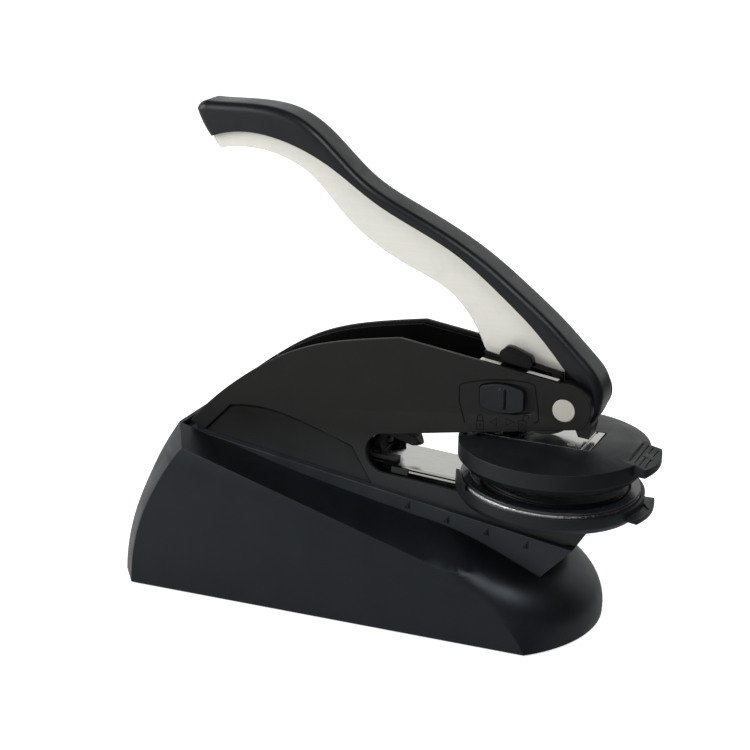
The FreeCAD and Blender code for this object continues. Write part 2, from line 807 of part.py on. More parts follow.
def lock_bar():
    outer = -plate_inner + lock_bar_gap
    face = side_face((-22.9, -2.4), (-11.4, -2.4), (-11.4, 4.9), (-4.2, 4.9), (-4.2, 8.7),
                     (-9.7, 9.8), (-12.5, 12.4), [(-14.9, 13.4), (-17.0, 13.8)],
                     [(-18.4, 13.0), (-18.8, 11.6)], (-22.9, 12.5), origin=pivot)
    return across(face, outer, outer + lock_bar_thickness)


# ---- die clip: lower half ----

def strip_sheet(low):
    wide = block(-strip_shoulder, strip_nose, -lower_strip_half_width, lower_strip_half_width,
                 low, low + sheet)
    neck = block(-strip_tail, -strip_shoulder, -strip_neck_half_width, strip_neck_half_width,
                 low, low + sheet)
    strip = join([wide, neck])
    for x, y in clip_rivet_spots():
        strip = strip.cut(disc(clip_rivet_radius + fixed_clearance, low, low + sheet, x, y))
    return strip


def clip_rivet_spots():
    return ((-58.6, -3.0), (-58.6, 3.0), (-49.4, -3.9), (-49.4, 3.9))


def lower_strip():
    return seat_lower(strip_sheet(tray_floor + sheet + sheet_gap))


def clip_runner():
    return seat_lower(strip_sheet(tray_floor))


def clip_spacer():
    """Moulded spacer between the two strips, with a lug at each edge."""
    low, high = tray_floor + sheet, tray_floor + sheet + sheet_gap
    half = lower_strip_half_width
    reach = half + lug_thickness
    wide = block(spacer_rear, spacer_front, -reach, reach, low, high)
    neck = block(-strip_tail, spacer_rear, -strip_neck_half_width, strip_neck_half_width, low, high)
    shapes = [wide, neck]
    for side in (-1, 1):
        y_low = min(side * (half + fixed_clearance), side * (half + lug_thickness))
        width = lug_thickness - fixed_clearance
        shapes.append(block(spacer_rear, spacer_front, y_low, y_low + width, low - lug_drop, high))
    spacer = join(shapes)
    for x, y in clip_rivet_spots():
        spacer = spacer.cut(disc(clip_rivet_radius + fixed_clearance, low, high, x, y))
    return seat_lower(spacer)


def clip_block_top():
    """Top of the two strips."""
    return tray_floor + 2 * sheet + sheet_gap


def clip_hinge_block():
    """Moulded block on the strips' rear end, with the two ears of the hinge."""
    low = clip_block_top()
    half = strip_neck_half_width
    slab = block(-strip_tail, clip_block_front, -half, half, low, low + 1.1)
    flange = block(clip_block_front, clip_flange_front, -half, -half + 2.6, low, low + 1.1)
    well = block(-57.2, -51.4, -knuckle_half_width - 0.3, knuckle_half_width + 0.3, low, low + 9)
    base = seat_lower(join([slab, flange]))
    ears = []
    for side in (-1, 1):
        y_low = min(side * (knuckle_half_width + 0.3), side * ear_outer)
        width = ear_outer - knuckle_half_width - 0.3
        web = side_face((-2.8, -2.5), (-2.6, 0.0), [(0.0, 2.7), (2.7, 0.0)], (3.0, -2.8), origin=hinge)
        ears.append(across(web, y_low, y_low + width))
    rib = side_face((2.8, -2.9), (3.3, -0.4), (5.1, -0.4), (5.7, -3.1), origin=hinge)
    wall = across(rib, -guide_half_width, guide_half_width)
    solid = join([base] + ears + [wall])
    solid = solid.cut(seat_lower(well))
    solid = solid.cut(cross_rod(hinge, clip_pin_radius + fixed_clearance, -40, 40))
    for x, y in clip_rivet_spots():
        solid = solid.cut(seat_lower(disc(clip_rivet_radius + fixed_clearance, low, low + 2.0, x, y)))
    return solid


def clip_pin():
    return cross_rod(hinge, clip_pin_radius, -ear_outer, ear_outer)


def clip_rivets():
    solids = []
    for x, y in clip_rivet_spots():
        top = clip_block_top() + 1.1
        shank = disc(clip_rivet_radius, tray_floor, top, x, y)
        head = disc(clip_rivet_radius * 1.5, top, top + 0.4, x, y)
        solids.append(seat_lower(shank.fuse(head)))
    return Part.makeCompound(solids)


def paper_guide():
    """Tongue over the throat's rear, with a round end."""
    face = side_face((3.4, -0.4), (5.1, -0.4), (7.8, 2.3), (14.4, 0.3), (17.0, 0.4), (15.6, 2.7),
                     (7.8, 4.9), (6.4, 4.2), origin=hinge)
    tongue = across(face, -guide_half_width, guide_half_width)
    tip = die_x - hinge_back + 14.8
    plan = block(tip - 20, tip, -guide_half_width, guide_half_width, 0, 80)
    return tongue.common(plan.fuse(disc(guide_half_width, 0, 80, tip)))


def pull_tab(reach, half_width, low, high, rim):
    """Finger tab at the front of a die holder, ending in a shallow arc."""
    corner = FreeCAD.Vector(rim * 0.9, -half_width, low)
    tip = FreeCAD.Vector(reach, 0, low)
    side = FreeCAD.Vector(reach - 1.5, -half_width * 1.08, low)
    other = FreeCAD.Vector(reach - 1.5, half_width * 1.08, low)
    far = FreeCAD.Vector(rim * 0.9, half_width, low)
    edges = [Part.makeLine(corner, side), Part.Arc(side, tip, other).toShape()]
    edges += [Part.makeLine(other, far), Part.makeLine(far, corner)]
    return Part.Face(Part.Wire(edges)).extrude(FreeCAD.Vector(0, 0, high - low))


def tab_hollow(reach):
    """Three-cornered hollow in the tray's tab, its point near the tip."""
    point = reach - 0.6
    rear = tray_radius - tray_back - 2.4
    half = tray_tab_half_width * 0.8
    spots = [(rear, half), (point, 0.0), (rear, -half), (rear, half)]
    outline = Part.makePolygon([FreeCAD.Vector(x, y, 0) for x, y in spots])
    prism = Part.Face(outline).extrude(FreeCAD.Vector(0, 0, tray_height + tray_lip))
    above = block(-2 * tray_radius, 0, -40, 40, 0, 20)
    fall = math.degrees(math.atan2(tray_tab_dent, point - rear))
    above.rotate(FreeCAD.Vector(), FreeCAD.Vector(0, 1, 0), -fall)
    above.translate(FreeCAD.Vector(point, 0, tray_tab_top))
    return prism.common(above)


def lower_die_tray():
    tray = disc(tray_radius, tray_taper_height, tray_height, -tray_back)
    foot = Part.makeCone(tray_foot_radius, tray_radius, tray_taper_height, FreeCAD.Vector(-tray_back, 0, 0))
    reach = tray_radius + tray_tab_length - tray_back
    tab = pull_tab(reach, tray_tab_half_width, tray_tab_base, tray_tab_top, tray_radius - tray_back)
    lip = disc(tray_radius, tray_height, tray_height + tray_lip, -tray_back)
    lip = lip.common(block(-40, -tray_radius * tray_lip_reach, -40, 40, 0, 20))
    tray = join([tray, foot, tab.cut(tab_hollow(reach)), lip])
    tray = tray.cut(disc(cavity_radius, tray_floor, 20, -tray_back))
    tray = tray.cut(disc(tray_radius - tray_wall, tray_step, 20, -tray_back))
    gate = block(-40, 0, -lower_strip_half_width - 0.2, lower_strip_half_width + 0.2, tray_floor, 20)
    return seat_lower(tray.cut(gate))


def die_metal_ring():
    ring = disc(metal_ring_radius, metal_ring_base, metal_ring_base + metal_ring_height, -tray_back)
    return seat_lower(ring.cut(disc(ring_bore, 0, 20, -tray_back)))


def die_retainer():
    low = metal_ring_base + metal_ring_height
    ring = disc(retainer_radius, low, low + retainer_height, -tray_back)
    return seat_lower(ring.cut(disc(ring_bore, 0, 20, -tray_back)))


def lower_die():
    """Die with its face on the die axis and its foot fitted to the tray."""
    body = disc(die_radius, clip_block_top(), lower_die_top - 0.5)
    face = disc(die_radius - 0.8, lower_die_top - 0.5, lower_die_top)
    flange = disc(ring_bore - 0.1, clip_block_top(), metal_ring_base - 0.2, -tray_back)
    ledge = disc(metal_ring_radius, metal_ring_base - 0.8, metal_ring_base, -tray_back)
    solid = join([body, face, flange, ledge])
    return seat_lower(solid)


# ---- die clip: upper half ----

def upper_die():
    return seat_upper(disc(die_radius, 0, upper_ring_base + upper_ring_height))


def upper_die_ring():
    ring = Part.makeCone(upper_ring_radius - upper_ring_taper, upper_ring_radius, upper_ring_height,
                         FreeCAD.Vector(0, 0, upper_ring_base))
    return seat_upper(ring.cut(disc(die_radius + fixed_clearance, -5, 20)))


def tab_cuts():
    """Flat of the upper tab and the grooves in it, in the tab's own sloping frame."""
    half = tab_half_width
    cuts = [block(0, 12, -1.09 * half, 1.09 * half, 0, 12)]
    for x, y_from, y_to in ((0.2, -7.0, 7.0), (1.6, -7.0, 7.0), (3.0, 1.8, 6.6), (3.0, -7.0, -1.0),
                            (4.5, 1.4, 6.4), (4.5, -7.0, -1.0)):
        cuts.append(block(x, x + tab_groove, y_from, y_to, -tab_groove, 1))
    for x_from, x_to in ((2.2, 3.9), (4.5, 5.7)):
        cuts.append(block(x_from, x_to, -1.0, -1.0 + tab_groove, -tab_groove, 1))
    for cut in cuts:
        cut.rotate(FreeCAD.Vector(), FreeCAD.Vector(0, 1, 0), tab_fall)
        cut.translate(FreeCAD.Vector(tab_rear[0], 0, tab_rear[1]))
    return cuts


def upper_die_holder():
    low = upper_ring_base + upper_ring_height
    side_top = low + upper_side_height
    wall = disc(upper_radius, low, side_top)
    cone = Part.makeCone(upper_radius, upper_radius - upper_chamfer, upper_chamfer_height,
                         FreeCAD.Vector(0, 0, side_top))
    reach = upper_radius + tab_length
    tip_top = tab_rear[1] - (reach - tab_rear[0]) * math.tan(math.radians(tab_fall))
    tab = pull_tab(reach, tab_half_width, tip_top - tab_thickness, side_top, upper_radius)
    holder = join([wall, cone, tab])
    channel = block(-40, channel_front, -channel_half_width, channel_half_width, upper_top - sheet, 40)
    holder = cut_all(holder.cut(channel), tab_cuts())
    for x, y in strip_rivet_spots():
        holder = holder.cut(disc(clip_rivet_radius + fixed_clearance, upper_top - sheet - 2.0, 40, x, y))
    return seat_upper(holder)


def strip_rivet_spots():
    return ((-14.0, 4.6), (-14.0, -4.6), (6.0, 4.6), (6.0, -4.6))


def upper_strip():
    low = upper_top - sheet
    front = block(-upper_strip_shoulder, upper_strip_front, -upper_strip_half_width,
                  upper_strip_half_width, low, upper_top)
    front = front.cut(block(upper_strip_groove, upper_strip_groove + 0.6, -upper_strip_half_width,
                            upper_strip_half_width, upper_top - sheet / 2, upper_top))
    rear = block(-upper_strip_bend, -upper_strip_shoulder, -strip_neck_half_width,
                 strip_neck_half_width, low, upper_top)
    top = seat_upper(join([front, rear]))
    for x, y in strip_rivet_spots():
        top = top.cut(seat_upper(disc(clip_rivet_radius + fixed_clearance, 0, 40, x, y)))
    middle = low + sheet / 2
    tilt = math.radians(upper_tilt)
    bend = (-upper_strip_bend * math.cos(tilt) + middle * math.sin(tilt),
            upper_face_height + upper_strip_bend * math.sin(tilt) + middle * math.cos(tilt))
    knuckle_top = (-hinge_back, hinge_height + knuckle_radius - sheet / 2)
    ramp = bar(knuckle_top, bend, sheet, strip_neck_half_width)
    narrow = block(die_x - hinge_back - 4, die_x - hinge_back + 3.4, knuckle_half_width, 40, 0, 80)
    ramp = ramp.cut(narrow)
    narrow.translate(FreeCAD.Vector(0, -40 - knuckle_half_width, 0))
    ramp = ramp.cut(narrow)
    corner = cross_rod(bend, sheet / 2, -strip_neck_half_width, strip_neck_half_width)
    knuckle = cross_rod(hinge, knuckle_radius, -knuckle_half_width, knuckle_half_width)
    strip = join([top, ramp, corner, knuckle])
    return strip.cut(cross_rod(hinge, clip_pin_radius + pin_running_clearance, -40, 40))


def strip_rivets():
    solids = []
    for x, y in strip_rivet_spots():
        solids.append(seat_upper(disc(clip_rivet_radius, upper_top - sheet - 2.0, upper_top, x, y)))
    return Part.makeCompound(solids)


def main():
    os.makedirs("parts", exist_ok=True)
    save("desk_base", desk_base())
    save("ballast_plate", ballast_plate())
    save("nonslip_pad", base_sheet(0.0, pad_thickness))
    save("base_screws", base_screws())
    save("cradle_rail", cradle_rail())
    save("cradle_screws", cradle_screws())
    save("right_body_shell", body_shell(-1))
    save("left_body_shell", body_shell(1))
    save("right_frame_plate", frame_plate(-1))
    save("left_frame_plate", frame_plate(1))
    save("frame_spacers", frame_spacers())
    save("jaw_saddle", jaw_saddle())
    save("body_screws", body_screws())
    save("pivot_pin", pivot_pin())
    save("pivot_washers", pivot_washers())
    save("return_spring", return_spring())
    save("lever_channel", lever_channel())
    save("handle_grip", handle_grip())
    save("cam_block", cam_block())
    save("lever_rivets", lever_rivets())
    save("lock_button", lock_button())
    save("lock_bar", lock_bar())
    save("lower_strip", lower_strip())
    save("clip_runner", clip_runner())
    save("clip_spacer", clip_spacer())
    save("clip_hinge_block", clip_hinge_block())
    save("clip_pin", clip_pin())
    save("clip_rivets", clip_rivets())
    save("paper_guide", paper_guide())
    save("lower_die_tray", lower_die_tray())
    save("die_metal_ring", die_metal_ring())
    save("die_retainer", die_retainer())
    save("lower_die", lower_die())
    save("upper_strip", upper_strip())
    save("upper_die_holder", upper_die_holder())
    save("upper_die_ring", upper_die_ring())
    save("upper_die", upper_die())
    save("strip_rivets", strip_rivets())


if __name__ == "__main__":
    main()
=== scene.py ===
import json
import math

import bmesh
import bpy
from mathutils import Matrix, Vector

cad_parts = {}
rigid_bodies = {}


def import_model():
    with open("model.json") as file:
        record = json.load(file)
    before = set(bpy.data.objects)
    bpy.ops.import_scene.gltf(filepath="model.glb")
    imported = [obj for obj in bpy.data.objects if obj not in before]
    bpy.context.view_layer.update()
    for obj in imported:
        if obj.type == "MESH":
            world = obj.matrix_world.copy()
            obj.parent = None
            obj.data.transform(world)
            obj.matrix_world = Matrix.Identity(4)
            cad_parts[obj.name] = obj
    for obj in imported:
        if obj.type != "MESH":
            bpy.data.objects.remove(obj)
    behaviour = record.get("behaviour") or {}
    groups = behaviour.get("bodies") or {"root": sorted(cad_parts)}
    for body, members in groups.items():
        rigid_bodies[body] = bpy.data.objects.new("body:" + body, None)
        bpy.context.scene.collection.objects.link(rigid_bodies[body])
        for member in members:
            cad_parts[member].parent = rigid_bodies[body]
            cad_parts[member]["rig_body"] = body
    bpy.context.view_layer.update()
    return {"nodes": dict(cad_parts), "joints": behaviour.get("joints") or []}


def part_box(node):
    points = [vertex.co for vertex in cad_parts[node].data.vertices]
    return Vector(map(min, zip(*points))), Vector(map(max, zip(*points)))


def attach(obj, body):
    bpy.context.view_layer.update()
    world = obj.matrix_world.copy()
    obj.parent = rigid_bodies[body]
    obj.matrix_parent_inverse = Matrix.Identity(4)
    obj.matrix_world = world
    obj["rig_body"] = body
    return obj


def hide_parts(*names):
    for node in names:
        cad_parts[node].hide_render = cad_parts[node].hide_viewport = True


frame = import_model()
nodes = frame["nodes"]
mm = 0.001

# places shared by the pieces, from the frame
handlePivot = next(joint for joint in frame["joints"] if joint["name"] == "handle_pivot")
pivot = Vector(handlePivot["pos_m"])
pivotAhead = 5.4 * mm  # pivot ahead of the die's axis
dieAxis = pivot.x - pivotAhead
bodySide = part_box("right_body_shell")[0].y
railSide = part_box("cradle_rail")[0].y
print("frame loaded:", len(nodes), "nodes")


def addNode(tree, kind, inputs=None, **settings):
    node = tree.nodes.new("ShaderNode" + kind)
    for key, value in settings.items():
        setattr(node, key, value)
    for key, value in (inputs or {}).items():
        if isinstance(value, bpy.types.NodeSocket):
            tree.links.new(value, node.inputs[key])
        else:
            node.inputs[key].default_value = value
    return node


def startFinish(name):
    material = bpy.data.materials.new(name)
    material.use_nodes = True
    tree = material.node_tree
    return material, tree, tree.nodes["Principled BSDF"]


def objectPlace(tree, stretch=(1, 1, 1), turn=(0, 0, 0)):
    coordinates = addNode(tree, "TexCoord")
    settings = {"Vector": coordinates.outputs["Object"], "Scale": stretch, "Rotation": turn}
    return addNode(tree, "Mapping", settings).outputs["Vector"]


def objectAxes(tree):  # X, Y and Z of the object's own coordinates
    return addNode(tree, "SeparateXYZ", {0: addNode(tree, "TexCoord").outputs["Object"]}).outputs


def noise(tree, place, size, detail=3.0, rough=0.5):
    settings = {"Vector": place, "Scale": 1 / size, "Detail": detail, "Roughness": rough}
    return addNode(tree, "TexNoise", settings).outputs["Fac"]


def rescale(tree, value, low, high, toLow=0.0, toHigh=1.0):
    settings = {"Value": value, "From Min": low, "From Max": high, "To Min": toLow, "To Max": toHigh}
    return addNode(tree, "MapRange", settings).outputs["Result"]


def spread(tree, value, toLow=0.0, toHigh=1.0):  # stretches the middle of a noise over the full range
    return rescale(tree, value, 0.3, 0.7, toLow, toHigh)


def calculate(tree, operation, first, second):
    return addNode(tree, "Math", {0: first, 1: second}, operation=operation).outputs[0]


def mixColour(tree, share, first, second):
    node = addNode(tree, "Mix", data_type="RGBA")
    for key, value in (("Factor", share), ("A", first), ("B", second)):
        socket = next(s for s in node.inputs if s.name == key and s.enabled)
        if isinstance(value, bpy.types.NodeSocket):
            tree.links.new(value, socket)
        else:
            socket.default_value = value
    return next(s for s in node.outputs if s.enabled)


def roundedNormal(tree, radius):
    return addNode(tree, "Bevel", {"Radius": radius}, samples=6).outputs["Normal"]


paleEdgeBand = (0.985, 0.80)  # cosine between true and rounded normal where the paler edge, partly wear and partly painted highlight, begins and is full


def edgeShare(tree, radius):  # 1 on sharp edges, 0 on flat stretches
    rounded = roundedNormal(tree, radius)
    flat = addNode(tree, "NewGeometry").outputs["True Normal"]
    dot = addNode(tree, "VectorMath", {0: rounded, 1: flat}, operation="DOT_PRODUCT")
    return rescale(tree, dot.outputs["Value"], *paleEdgeBand)


def bump(tree, height, depth, base=None, strength=1.0):
    settings = {"Height": height, "Distance": depth, "Strength": strength}
    if base is not None:
        settings["Normal"] = base
    return addNode(tree, "Bump", settings).outputs["Normal"]


def darker(colour, share):
    return (colour[0] * share, colour[1] * share, colour[2] * share, 1.0)


plasticLook = {  # sizes in mm, tones as shares of the colour
    "clouds": 9.0,
    "specks": 0.45,
    "speckCut": (0.66, 0.74),
    "speckShare": 0.25,
    "cloudTones": (0.86, 1.14),
    "speckTone": 1.8,
    "rubbedAndHighlit": (0.3, 0.6),
    "paleEdgeWidth": 1.6,  # times the softness of the edges
    "cloudGloss": (-0.04, 0.05),
    "grainGloss": (-0.03, 0.03),
    "tint": 0.45,  # how far a mirrored light takes on the colour
}


def mouldedPlastic(name, colour, gloss, grain=0.22, grainDepth=0.012, shine=0.25, wearAndHighlight=2.4, soft=0.25,
                   footSheen=None):
    # spark-textured black plastic: fine grain, faint flow clouds, edges a little paler, partly rubbed wear
    # and partly painted highlight
    look = plasticLook
    material, tree, shader = startFinish(name)
    place = objectPlace(tree)
    fine = noise(tree, place, grain * mm, 3.0, 0.6)
    clouds = noise(tree, place, look["clouds"] * mm, 4.0, 0.55)
    specks = rescale(tree, noise(tree, place, look["specks"] * mm, 2.0), *look["speckCut"])
    edges = edgeShare(tree, soft * look["paleEdgeWidth"] * mm)
    rubbedAndHighlit = calculate(tree, "MULTIPLY", edges, rescale(tree, clouds, *look["rubbedAndHighlit"]))
    deep, pale = (darker(colour, tone) for tone in look["cloudTones"])
    base = mixColour(tree, spread(tree, clouds), deep, pale)
    speckled = calculate(tree, "MULTIPLY", specks, look["speckShare"])
    base = mixColour(tree, speckled, base, darker(colour, look["speckTone"]))
    # paler edges: partly rubbed wear, partly painted highlight along crisp edges
    base = mixColour(tree, rubbedAndHighlit, base, darker(colour, wearAndHighlight))
    if footSheen:  # painted reflected light: paler towards its foot
        height = objectAxes(tree)["Z"]
        dustAndSheen = rescale(tree, height, footSheen["top"] * mm, footSheen["foot"] * mm, 0.0, footSheen["share"])
        base = mixColour(tree, dustAndSheen, base, footSheen["colour"])
    tree.links.new(base, shader.inputs["Base Color"])
    least, most = (gloss + change for change in look["cloudGloss"])
    rough = calculate(tree, "ADD", spread(tree, clouds, least, most),
                      spread(tree, fine, *look["grainGloss"]))
    tree.links.new(rough, shader.inputs["Roughness"])
    shader.inputs["Specular IOR Level"].default_value = shine
    strongest = max(colour[:3])
    tint = [(share / strongest) ** look["tint"] for share in colour[:3]]
    shader.inputs["Specular Tint"].default_value = (*tint, 1)
    normal = bump(tree, fine, grainDepth * mm, roundedNormal(tree, soft * mm))
    tree.links.new(normal, shader.inputs["Normal"])
    return material


steelLook = {  # sizes in mm, tones as shares of the colour
    "stretch": 0.03,  # scale of the streaks along the sheet
    "stains": 7.0,
    "streakTones": (-0.1, 0.05),  # times the contrast
    "streakCut": (0.35, 0.65),
    "stainCut": (0.55, 0.8),
    "stainShare": 0.35,
    "stainTone": 0.8,
    "streakGloss": 0.055,  # times the contrast
    "stainGloss": (-0.02, 0.05),
}


def brushedSteel(name, colour, gloss, direction, streak=0.05, streakDepth=0.003, soft=0.12, contrast=1.0,
                 metal=1.0):
    # rolled or brushed sheet: long fine streaks and faint stains
    look = steelLook
    material, tree, shader = startFinish(name)
    stretch = [1.0, 1.0, 1.0]
    stretch[direction] = look["stretch"]
    along = objectPlace(tree, tuple(stretch))
    place = objectPlace(tree)
    streaks = noise(tree, along, streak * 6 * mm, 5.0, 0.65)
    fine = noise(tree, along, streak * mm * 2, 2.0, 0.6)
    stains = noise(tree, place, look["stains"] * mm, 4.0, 0.6)
    deep, pale = (darker(colour, 1 + tone * contrast) for tone in look["streakTones"])
    base = mixColour(tree, rescale(tree, streaks, *look["streakCut"]), deep, pale)
    stained = rescale(tree, stains, *look["stainCut"], 0.0, look["stainShare"])
    base = mixColour(tree, stained, base, darker(colour, look["stainTone"]))
    tree.links.new(base, shader.inputs["Base Color"])
    change = look["streakGloss"] * contrast
    rough = calculate(tree, "ADD", spread(tree, streaks, gloss - change, gloss + change),
                      spread(tree, stains, *look["stainGloss"]))
    tree.links.new(rough, shader.inputs["Roughness"])
    shader.inputs["Metallic"].default_value = metal
    grooves = calculate(tree, "ADD", streaks, fine)
    normal = bump(tree, grooves, streakDepth * mm, roundedNormal(tree, soft * mm))
    tree.links.new(normal, shader.inputs["Normal"])
    return material


ironLook = {
    "pits": 1.2,
    "patches": 8.0,
    "pitCut": (0.35, 0.6),
    "pitTone": 0.6,
    "rust": (0.09, 0.04, 0.02, 1),
    "rustCut": (0.58, 0.72),
    "rustShare": 0.6,
    "gloss": (0.5, 0.75),
    "metal": 0.6,
    "depth": 0.12,
}


def castIron(name, colour):  # blackened plate with a rough cast skin and rust in its hollows
    look = ironLook
    material, tree, shader = startFinish(name)
    place = objectPlace(tree)
    pits = noise(tree, place, look["pits"] * mm, 5.0, 0.7)
    patches = noise(tree, place, look["patches"] * mm, 3.0)
    base = mixColour(tree, rescale(tree, pits, *look["pitCut"]), darker(colour, look["pitTone"]), colour)
    rusty = rescale(tree, patches, *look["rustCut"], 0.0, look["rustShare"])
    base = mixColour(tree, rusty, base, look["rust"])
    tree.links.new(base, shader.inputs["Base Color"])
    tree.links.new(spread(tree, pits, *look["gloss"]), shader.inputs["Roughness"])
    shader.inputs["Metallic"].default_value = look["metal"]
    normal = bump(tree, pits, look["depth"] * mm, roundedNormal(tree, 0.2 * mm))
    tree.links.new(normal, shader.inputs["Normal"])
    return material


rubberLook = {
    "ribs": 180.0,
    "wobble": 0.6,
    "dust": 4.0,
    "dustCut": (0.45, 0.75),
    "dustShare": 0.5,
    "dustTone": 2.2,
    "gloss": (0.8, 0.95),
    "shine": 0.3,
    "depth": 0.15,
}


def feltRubber(name, colour):  # matt non-slip sheet with a fine crossed texture
    look = rubberLook
    material, tree, shader = startFinish(name)
    place = objectPlace(tree)
    settings = {"Vector": place, "Scale": look["ribs"], "Distortion": look["wobble"]}
    ribsX = addNode(tree, "TexWave", settings, bands_direction="X")
    ribsY = addNode(tree, "TexWave", settings, bands_direction="Y")
    crossed = calculate(tree, "MULTIPLY", ribsX.outputs["Fac"], ribsY.outputs["Fac"])
    dust = noise(tree, place, look["dust"] * mm, 5.0, 0.6)
    dustAndSheen = rescale(tree, dust, *look["dustCut"], 0.0, look["dustShare"])
    base = mixColour(tree, dustAndSheen, colour, darker(colour, look["dustTone"]))
    tree.links.new(base, shader.inputs["Base Color"])
    tree.links.new(spread(tree, dust, *look["gloss"]), shader.inputs["Roughness"])
    shader.inputs["Specular IOR Level"].default_value = look["shine"]
    normal = bump(tree, crossed, look["depth"] * mm, roundedNormal(tree, 0.15 * mm))
    tree.links.new(normal, shader.inputs["Normal"])
    return material


beadLook = {  # sizes in mm
    "behind": 1.0,  # centre of the ring, behind the die's axis
    "fullest": (-0.28, -0.96, 0),  # direction of its fullest side
    "reach": (8.0, 23.5),
    "more": (-0.22, 0.20),
    "flecks": 0.9,
    "patches": 6.5,
    "patchShare": 0.8,
    "cut": (0.80, 1.02),
    "gloss": (0.5, 0.2),
    "depth": 0.25,
}


def unevenRing(name, colour, gap):  # thin silvery bead: bright flecks broken by dark dross
    look = beadLook
    material, tree, shader = startFinish(name)
    place = objectPlace(tree)
    settings = {0: place, 1: (dieAxis - look["behind"] * mm, 0, 0)}
    outward = addNode(tree, "VectorMath", settings, operation="SUBTRACT").outputs["Vector"]
    towards = addNode(tree, "VectorMath", {0: outward, 1: look["fullest"]}, operation="DOT_PRODUCT")
    near, far = (distance * mm for distance in look["reach"])
    full = rescale(tree, towards.outputs["Value"], near, far, *look["more"])
    flecks = noise(tree, place, look["flecks"] * mm, 4.0, 0.7)
    patches = noise(tree, place, look["patches"] * mm, 2.0, 0.5)
    amount = calculate(tree, "ADD", flecks, calculate(tree, "MULTIPLY", patches, look["patchShare"]))
    share = rescale(tree, calculate(tree, "ADD", amount, full), *look["cut"])
    tree.links.new(mixColour(tree, share, gap, colour), shader.inputs["Base Color"])
    tree.links.new(spread(tree, flecks, *look["gloss"]), shader.inputs["Roughness"])
    tree.links.new(share, shader.inputs["Metallic"])
    normal = bump(tree, flecks, look["depth"] * mm, roundedNormal(tree, 0.2 * mm))
    tree.links.new(normal, shader.inputs["Normal"])
    return material


glossyLook = {
    "scratches": 0.5,
    "scratchCut": (0.4, 0.7),
    "clouds": 5.0,
    "tones": (0.8, 1.3),
    "gloss": (0.12, 0.3),
    "depth": 0.01,
}


def glossyMoulding(name, colour, shine=0.5):  # polished black plastic, with faint hair scratches
    look = glossyLook
    material, tree, shader = startFinish(name)
    place = objectPlace(tree)
    along = objectPlace(tree, (1, 0.05, 1))
    scratches = noise(tree, along, look["scratches"] * mm, 4.0, 0.7)
    clouds = noise(tree, place, look["clouds"] * mm, 3.0)
    deep, pale = (darker(colour, tone) for tone in look["tones"])
    tree.links.new(mixColour(tree, spread(tree, clouds), deep, pale), shader.inputs["Base Color"])
    rough = rescale(tree, scratches, *look["scratchCut"], *look["gloss"])
    tree.links.new(rough, shader.inputs["Roughness"])
    shader.inputs["Specular IOR Level"].default_value = shine
    normal = bump(tree, scratches, look["depth"] * mm, roundedNormal(tree, 0.25 * mm))
    tree.links.new(normal, shader.inputs["Normal"])
    return material


chrome = ((0.44, 0.44, 0.42, 1), 0.14, 0, 0.06, 0.001)  # colour, gloss, direction, streaks and their depth
paintedStripShade = {  # painted shade over the rear of the lower strips, darkest towards the hinge, in mm
    "ends": (-44.0, -42.2),  # full and none, from the die's axis
    "slant": 0.55,
    "noise": 2.5,
    "ragged": 1.6,
    "colour": (0.004, 0.004, 0.004, 1),
}


def stripWithPaintedShade():  # the strip's polished steel, with painted shade turning it black towards the hinge
    material = brushedSteel("stripWithPaintedShade", *chrome)
    tree = material.node_tree
    shader = tree.nodes["Principled BSDF"]
    axes = objectAxes(tree)
    patches = noise(tree, objectPlace(tree), paintedStripShade["noise"] * mm, 3.0)
    ragged = calculate(tree, "MULTIPLY", patches, paintedStripShade["ragged"] * mm)
    slanted = calculate(tree, "MULTIPLY", axes["Y"], paintedStripShade["slant"])
    along = calculate(tree, "ADD", calculate(tree, "ADD", axes["X"], slanted), ragged)
    low, high = (dieAxis + end * mm for end in paintedStripShade["ends"])
    steel = shader.inputs["Base Color"].links[0].from_socket
    # painted shade: black steel behind a ragged slanted line towards the hinge
    base = mixColour(tree, rescale(tree, along, low, high), paintedStripShade["colour"], steel)
    tree.links.new(base, shader.inputs["Base Color"])
    return material


shadedStrip = stripWithPaintedShade()
bareEdge = {  # where the frame plates' top edge is bare steel, in mm
    "stretches": ((-18.0, -12.6), (-5.1, 3.1)),  # from the die's axis
    "fade": 0.2,
    "above": (60.0, 61.0),
    "upwards": (0.6, 0.8),  # the face's normal
    "metal": 0.35,
}
plateLook = {
    "fine": 0.3,
    "clouds": 8.0,
    "coatTones": (0.8, 1.3),
    "bareTone": 0.85,
    "gloss": (0.30, 0.42),
    "shine": 0.08,
    "depth": 0.006,
}


def bareShare(tree):  # 1 on the bare stretches, 0 elsewhere
    axes = objectAxes(tree)
    facing = addNode(tree, "SeparateXYZ", {0: addNode(tree, "NewGeometry").outputs["Normal"]})
    upwards = rescale(tree, facing.outputs["Z"], *bareEdge["upwards"])
    aloft = rescale(tree, axes["Z"], *(height * mm for height in bareEdge["above"]))
    fade = bareEdge["fade"] * mm
    bared = 0.0
    for ends in bareEdge["stretches"]:
        low, high = (dieAxis + end * mm for end in ends)
        behind = rescale(tree, axes["X"], low - fade, low)
        ahead = rescale(tree, axes["X"], high + fade, high)
        bared = calculate(tree, "ADD", bared, calculate(tree, "MULTIPLY", behind, ahead))
    return calculate(tree, "MULTIPLY", bared, calculate(tree, "MULTIPLY", upwards, aloft))


